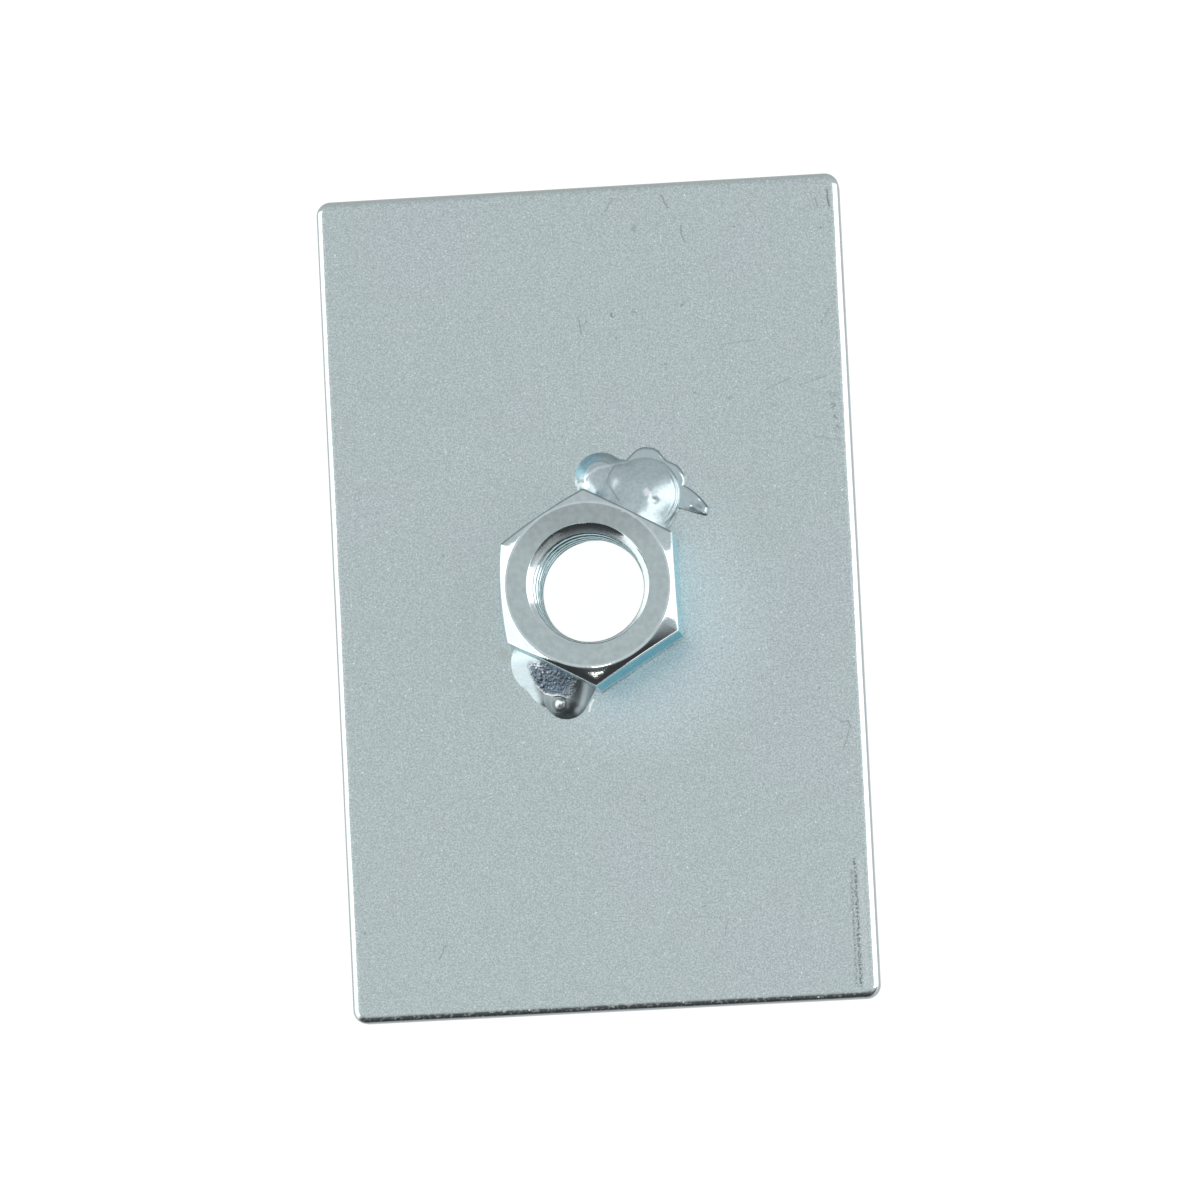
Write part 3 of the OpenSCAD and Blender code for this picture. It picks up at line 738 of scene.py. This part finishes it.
def rightDetail(along, out, height):
    # In the form: a lip round the side puddle's top, the groove where the main puddle lies over it,
    # ripples by the main puddle's right rim, a small crater and a thin crest.
    # In the finish: blue on the side puddle. In the colour: painted highlights on a bright patch, the crest
    # and part of the side puddle, and painted shade as dark lines along the groove, the nut's flat and the
    # main puddle's right foot, and on a spot.
    skin = rightSkin
    main, side = rightWeld["puddles"][:2]
    apart, sideApart = puddleApart(main, along, out), puddleApart(side, along, out)
    bearing = np.degrees(np.arctan2(out - main["out"], along - main["along"]))
    beside = np.degrees(np.arctan2(out - side["out"], along - side["along"])) % 360
    change = skin["wobble"] * lumps(along, out, 1.3, 5) + skin["dimple"] * lumps(along, out, 0.45, 6)
    onSide = ease(0.85, 0.95, apart)
    lip = swell(sideApart, skin["lipAt"], skin["lipWidth"]) * onSide * within(skin["lipSector"], beside)
    change += skin["lip"] * lip
    fromMain = apart * main["radius"]
    groove = swell(fromMain, skin["grooveAt"], skin["grooveWidth"])
    change -= skin["groove"] * groove * within(skin["grooveSector"], bearing % 360)
    rippling = within(skin["rippleBand"], apart) * within(skin["rippleSector"], bearing)
    change += skin["ripple"] * rippling * np.sin(2 * np.pi * fromMain / skin["ripplePitch"])
    change -= skin["craterDepth"] * spot(along, out, skin["crater"], skin["craterSize"])
    crest = line(along, out, skin["crest"], skin["crestWidth"])
    change += skin["crestHeight"] * crest
    # Painted highlights on a bright patch, the crest and part of the side puddle
    highlightPatch = spot(along, out, skin["highlightPatch"], skin["highlightPatchSize"]) + skin["highlightPatchRag"] * lumps(along, out, 0.22, 9)
    sideHighlight = onSide * ease(0.4, 0.6, sideApart) * within(skin["sideHighlightSector"], beside)
    sideHighlight = sideHighlight * ease(-0.5, 0.3, lumps(along, out, 0.25, 14))
    paintedHighlight = np.maximum(skin["highlightPatchShine"] * ease(0.25, 0.75, highlightPatch), skin["crestShine"] * crest)
    paintedHighlight = np.maximum(paintedHighlight, skin["sideHighlightShine"] * sideHighlight)
    # Painted shade: dark lines along the groove, by the nut's flat and along the main puddle's right foot, and
    # a spot over a glare
    slagAndShade = skin["ringShade"] * line(along, out, skin["ring"], skin["ringWidth"])
    slagAndShade = np.maximum(slagAndShade, skin["nutShadeDark"] * (1 - ease(*skin["nutShadeFade"], out)))
    slagAndShade = np.maximum(slagAndShade, skin["shadowDark"] * line(along, out, skin["shadow"], skin["shadowWidth"]))
    slagAndShade = np.maximum(slagAndShade, skin["glareShade"] * spot(along, out, skin["glare"], skin["glareSize"]))
    blue = onSide * ease(0.45, 0.65, sideApart) * within(skin["blueSector"], beside)
    skins = dict(crust=np.zeros_like(height), slagAndShade=slagAndShade, paintedHighlight=paintedHighlight, blue=blue)
    return height + change * ease(0, 0.5, height + weldMetal["melt"]), skins


leftSkin = dict(
    ridge=((-2.75, 1.75), (-2.35, 2.1), (-1.3, 2.2), (-0.55, 2.55), (0.15, 2.7), (0.8, 2.5), (1.25, 2.3)),
    # The ridge's shine, the flecks' shine and the gleam on the drop are painted highlights.
    ridgeHeight=0.05, ridgeWidth=0.11, ridgeSpan=(-2.6, -1.6, 0.9, 1.3), ridgeShine=0.4,
    flankFrom=((0.1, 2.2), (0.45, 2.8), (0.95, 3.0), (1.5, 2.5), (2.2, 1.7), (3.3, 0.8), (3.7, 0.5)),
    flankRag=0.15, crustFrom=(-2.9, -1.3), crustBump=0.05, slagFrom=(-3.2, -1.6), slagLeast=0.7,
    flecked=(2.0, 0.6), fleckedSize=(1.2, 0.6), fleckShine=0.8,
    drop=(-1.59, 3.05), dropRadius=0.62, dropHeight=0.26, dropRim=0.8, moat=0.03, moatAt=1.15, moatWidth=0.16,
    gleam=(-1.67, 3.05), gleamFade=(0.3, 0.5))


def leftDetail(along, out, height):
    # A bright flank on the left, a rough crust by the nut, glassy slag over the nose and along the foot,
    # the thin ridge between those two, and a drop frozen on the nose.
    skin = leftSkin
    ridge = np.interp(along, *np.transpose(skin["ridge"]))
    rag = skin["flankRag"] * lumps(along, out, 0.35, 10)
    flank = along - np.interp(out, *np.transpose(skin["flankFrom"])) + rag
    above = 1 - ease(-0.2, 0.0, out - ridge)
    crust = above * (1 - ease(-0.6, 0.2, flank)) * ease(*skin["crustFrom"], along)
    crest = swell(out, ridge, skin["ridgeWidth"]) * within(skin["ridgeSpan"], along)
    away = np.hypot(along - skin["drop"][0], out - skin["drop"][1]) / skin["dropRadius"]
    change = crust * skin["crustBump"] * (lumps(along, out, 0.22, 7) + 0.8 * lumps(along, out, 0.11, 8))
    change += skin["ridgeHeight"] * crest
    change += skin["dropHeight"] * np.maximum(1 - away ** 2, 0) ** skin["dropRim"]
    change -= skin["moat"] * swell(away, skin["moatAt"], skin["moatWidth"])
    glassy = skin["slagLeast"] + (1 - skin["slagLeast"]) * ease(*skin["slagFrom"], along)
    slagAndShade = (1 - ease(-0.9, 0.3, flank)) * (1 - crust) * glassy
    # Painted highlights: glints on flecks in the crust, a line along the ridge and a spot on the drop
    flecks = crust * spot(along, out, skin["flecked"], skin["fleckedSize"])
    flecks = flecks * ease(0.1, 0.4, lumps(along, out, 0.15, 13))
    gleam = 1 - ease(*skin["gleamFade"], np.hypot(along - skin["gleam"][0], out - skin["gleam"][1]))
    paintedHighlight = np.maximum(np.maximum(skin["ridgeShine"] * crest, skin["fleckShine"] * flecks), gleam)
    skins = dict(crust=crust, slagAndShade=slagAndShade, paintedHighlight=paintedHighlight, blue=np.zeros_like(height))
    return height + change * ease(0, 0.5, height + weldMetal["melt"]), skins


# A lobe is its bearing, its half width in degrees and how far it swells
flashForm = dict(
    thick=0.22, waver=0.2, foot=-0.05, root=2.4, rim=3.9, sector=(-5, 3, 140, 165),
    lobes=((112, 22, 0.8), (57, 20, 0.5)),
    leafReach=2.75, leafFrom=38, leafTip=13, leafEnd=(3.5, 6.5), leafLift=0.3, leafCrease=0.16,
    # The dark outline, the dark under the leaf and the dark creases are painted shade.
    outlineFrom=(0.955, 0.975), outlineShade=0.8, leafUnder=(6, 9), leafShade=0.85, creaseShade=0.5,
    rays=360, rings=40)


def flashSurface(form):
    # A thin sheet spilled round the main puddle. Its outline swells into lobes and one pointed leaf.
    main = rightWeld["puddles"][0]
    turn = np.linspace(0, 360, form["rays"], endpoint=False)
    turn = np.where(turn > 200, turn - 360, turn)
    outline = form["root"] + (form["rim"] - form["root"]) * within(form["sector"], turn)
    for middle, width, size in form["lobes"]:
        outline += size * np.exp(-np.abs((turn - middle) / width) ** 3)
    leaf = np.clip((form["leafFrom"] - turn) / (form["leafFrom"] - form["leafTip"]), 0, 1)
    leaf = leaf * ease(*form["leafEnd"], turn)
    outline += form["leafReach"] * leaf
    share = np.sin(np.pi / 2 * np.arange(1, form["rings"] + 1) / form["rings"])[:, None]
    away = share * outline
    along = main["along"] + away * np.cos(np.radians(turn))
    out = main["out"] + away * np.sin(np.radians(turn))
    beyond = ease(main["radius"], main["radius"] + 1.5, away) * leaf
    lip = 1 - share ** 24
    height = form["thick"] * (1 + form["waver"] * lumps(along, out, 0.9, 11)) * lip
    lift = form["leafLift"] * share ** 6 * lip + form["leafCrease"] * lumps(along, out, 0.6, 12)
    height += beyond * lift
    # Painted shade: a dark line along the outline, heavier under the leaf, and dark creases in the leaf
    under = (beyond > 0.05) * (1 - ease(*form["leafUnder"], turn))
    creases = beyond * ease(0.25, 0.5, lumps(along, out, 0.35, 15))
    slagAndShade = np.maximum(form["outlineShade"] * ease(*form["outlineFrom"], share), form["leafShade"] * under)
    slagAndShade = np.maximum(slagAndShade, form["creaseShade"] * creases)
    slagAndShade = np.append(np.concatenate([slagAndShade, slagAndShade[-1:]]).ravel(), [0, 0])
    foot = np.full_like(outline, form["foot"])
    along = np.concatenate([along, along[-1:]])
    out = np.concatenate([out, out[-1:]])
    height = np.concatenate([np.maximum(height, 0.0), foot[None]])
    points = ontoFlat(rightWeld, along, out, height).reshape(-1, 3)
    ends = np.array([form["thick"], form["foot"]])
    poles = ontoFlat(rightWeld, np.full(2, main["along"]), np.full(2, main["out"]), ends)
    return np.concatenate([points, poles]), poleFaces(len(height), form["rays"]), slagAndShade


frosted = weldZinc("frostedWeld", weldLook, 0.30, 0.09)
glossy = weldZinc("glossyWeld", weldLook, 0.16, 0.04)
points, faces, skins = weldSurface(rightWeld, rightDetail)
makePiece("right_tack_weld", points, faces, frosted, "weld_zinc", "right_weld", **skins)
points, faces, skins = weldSurface(leftWeld, leftDetail)
makePiece("left_tack_weld", points, faces, glossy, "weld_zinc", "left_weld", **skins)
points, faces, slagAndShade = flashSurface(flashForm)
plain = {name: np.zeros(len(points)) for name in skins}
makePiece("weld_flash", points, faces, glossy, "weld_zinc", **{**plain, "slagAndShade": slagAndShade})


# Floor, light and camera

white, warm = (1, 1, 1), (1, 0.95, 0.86)
studio = dict(
    floorHalf=3.0, floorGlow=0.97, floorShade=0.1, panelAway=0.6,
    zenith=(0.86, 0.88, 0.90), back=(0.72, 0.75, 0.77), front=(0.055, 0.057, 0.06), away=(0.31, 0.95, 0),
    backFrom=(-0.45, 0.1), zenithFrom=(0.62, 0.9),
    panels=[
        dict(name="leftPanel", azimuth=188, elevation=28, wide=0.88, tall=0.6, level=1.6, colour=white),
        dict(name="rightPanel", azimuth=3, elevation=31, wide=0.40, tall=0.74, level=1.75, colour=white),
        dict(name="lowPanel", azimuth=-42, elevation=8, wide=0.5, tall=0.16, level=1.2, colour=white),
        dict(name="frontPanel", azimuth=270, elevation=57, wide=0.08, tall=0.12, level=4.0, colour=white),
        dict(name="frontGlint", azimuth=268, elevation=36, wide=0.09, tall=0.02, level=7.0, colour=warm),
    ])


def seenDirectly(tree):
    # 1 for camera, glossy and transmission rays, so that metal shows the same background.
    path = addNode(tree, "LightPath").outputs
    seen = calc(tree, "MAXIMUM", path["Is Camera Ray"], path["Is Glossy Ray"])
    return calc(tree, "MAXIMUM", seen, path["Is Transmission Ray"])


def layFloor(look):
    half = look["floorHalf"]
    mesh = bpy.data.meshes.new("floor")
    corners = [(-half, -half, 0), (half, -half, 0), (half, half, 0), (-half, half, 0)]
    mesh.from_pydata(corners, [], [(0, 1, 2, 3)])
    material = bpy.data.materials.new("paleFloor")
    material.use_nodes = True
    tree = material.node_tree
    tree.nodes.clear()
    strength = calc(tree, "MULTIPLY", seenDirectly(tree), look["floorGlow"])
    glow = addNode(tree, "Emission", {"Color": (*white, 1), "Strength": strength})
    matte = addNode(tree, "BsdfDiffuse", {"Color": (*[look["floorShade"]] * 3, 1)})
    both = addNode(tree, "AddShader", {0: glow.outputs[0], 1: matte.outputs[0]})
    addNode(tree, "OutputMaterial", {"Surface": both.outputs[0]})
    mesh.materials.append(material)
    floor = bpy.data.objects.new("floor", mesh)
    bpy.context.scene.collection.objects.link(floor)


def lightWorld(look):
    # Grey overhead, a little darker behind and dark in front, plain white to the camera.
    world = bpy.data.worlds.new("studio")
    bpy.context.scene.world = world
    world.use_nodes = True
    tree = world.node_tree
    tree.nodes.clear()
    way = addNode(tree, "TexCoord").outputs["Generated"]
    up = addNode(tree, "SeparateXYZ", {0: way}).outputs[2]
    away = addNode(tree, "VectorMath", {0: way, 1: look["away"]}, operation="DOT_PRODUCT").outputs["Value"]
    ring = tint(tree, fade(tree, away, *look["backFrom"]), look["front"], look["back"])
    dome = tint(tree, fade(tree, up, *look["zenithFrom"]), ring, look["zenith"])
    camera = addNode(tree, "LightPath").outputs["Is Camera Ray"]
    colour = tint(tree, camera, dome, white)
    ground = addNode(tree, "Background", {"Color": colour, "Strength": 1.0})
    addNode(tree, "OutputWorld", {"Surface": ground.outputs[0]})


def hangPanel(panel, away):
    # A soft box that faces the part. Its power gives its face the wanted brightness.
    azimuth, elevation = np.radians(panel["azimuth"]), np.radians(panel["elevation"])
    level = np.cos(elevation)
    way = np.array([level * np.cos(azimuth), level * np.sin(azimuth), np.sin(elevation)])
    side = np.array([-np.sin(azimuth), np.cos(azimuth), 0])
    lamp = bpy.data.lights.new(panel["name"], "AREA")
    lamp.shape = "RECTANGLE"
    lamp.size, lamp.size_y = panel["wide"], panel["tall"]
    lamp.energy = panel["level"] * np.pi * panel["wide"] * panel["tall"]
    lamp.color = panel["colour"]
    box = bpy.data.objects.new(panel["name"], lamp)
    axes = np.eye(4)
    axes[:3, 0], axes[:3, 1], axes[:3, 2] = side, np.cross(way, side), way
    axes[:3, 3] = away * way
    box.matrix_world = Matrix(axes.tolist())
    bpy.context.scene.collection.objects.link(box)


cameraView = dict(tiltX=-4.45, tiltY=-4.275, turn=2.819, aside=(-0.162, 0.019), distance=740.7,
                  focalPixels=7398.7, framePixels=1200, sensor=36.0)


def placeCamera(view):
    # Turns the part by its three angles, then stands off along Z, as the picture was taken.
    turns = [("tiltX", "X"), ("tiltY", "Y"), ("turn", "Z")]
    tilt, lean, spin = (Matrix.Rotation(np.radians(view[name]), 3, axis) for name, axis in turns)
    inward = np.array((tilt @ lean @ spin).transposed())
    axes = np.eye(4)
    axes[:3, :3] = inward
    axes[:3, 3] = inward @ np.array([-view["aside"][0], -view["aside"][1], view["distance"]]) * mm
    lens = bpy.data.cameras.new("camera")
    lens.sensor_width = view["sensor"]
    lens.sensor_fit = "HORIZONTAL"
    lens.lens = view["sensor"] * view["focalPixels"] / view["framePixels"]
    camera = bpy.data.objects.new("camera", lens)
    camera.matrix_world = Matrix(axes.tolist())
    bpy.context.scene.collection.objects.link(camera)
    bpy.context.scene.camera = camera


layFloor(studio)
lightWorld(studio)
for panel in studio["panels"]:
    hangPanel(panel, studio["panelAway"])
placeCamera(cameraView)
bpy.context.scene.view_settings.view_transform = "Standard"
print("studio ready")
